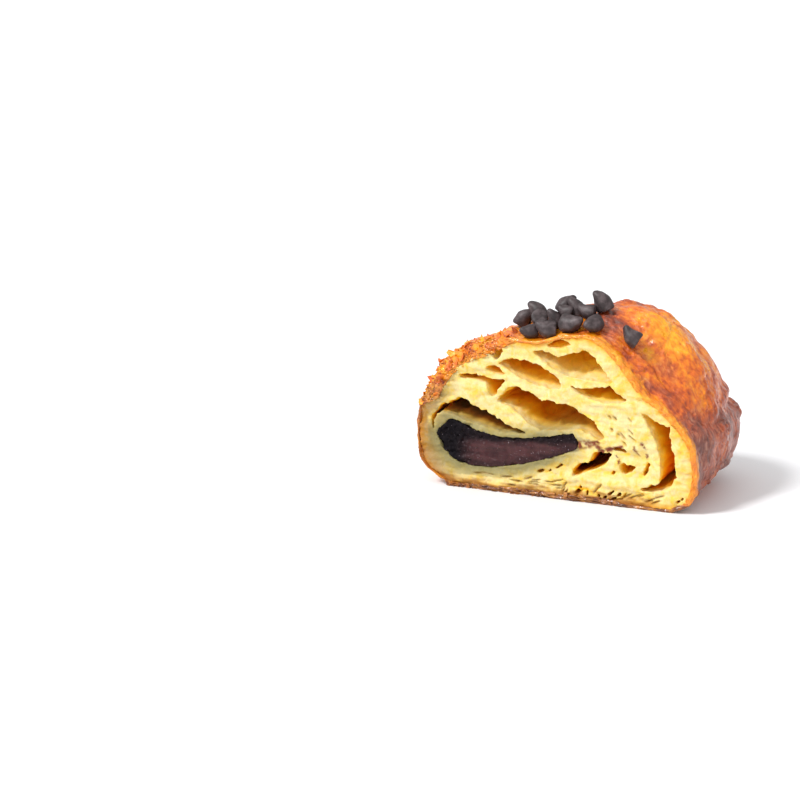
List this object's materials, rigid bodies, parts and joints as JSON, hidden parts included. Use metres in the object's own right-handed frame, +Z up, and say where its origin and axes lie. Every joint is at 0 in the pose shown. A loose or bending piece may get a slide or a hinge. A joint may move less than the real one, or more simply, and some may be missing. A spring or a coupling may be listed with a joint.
{
  "type": "pain au chocolat half",
  "caption": "Half of a pain au chocolat, cut across: a domed laminated pastry with open layers, a chocolate bar inside and chocolate chips on top.",
  "frame": {"origin": "centre of the bounding box at the height of the flat base, on the table", "axes": "+X along the width of the cut, +Y from the cut towards the closed end, +Z up"},
  "size_m": [0.0914, 0.0582, 0.0609],
  "materials": {
    "pastry": "glazed golden brown crust outside, matte cream crumb on the cut",
    "chocolate_filling": "soft dark chocolate, part glossy and part crumbly",
    "chocolate_chips": "satin dark chocolate"
  },
  "bodies": {
    "root": {"pastry": "pastry", "chocolate_filling": "chocolate_filling", "chip_01": "chocolate_chips", "chip_02": "chocolate_chips", "chip_03": "chocolate_chips", "chip_04": "chocolate_chips", "chip_05": "chocolate_chips", "chip_06": "chocolate_chips", "chip_07": "chocolate_chips", "chip_08": "chocolate_chips", "chip_09": "chocolate_chips", "chip_10": "chocolate_chips", "chip_11": "chocolate_chips", "chip_12": "chocolate_chips", "chip_13": "chocolate_chips", "chip_14": "chocolate_chips"}
  },
  "joints": []
}
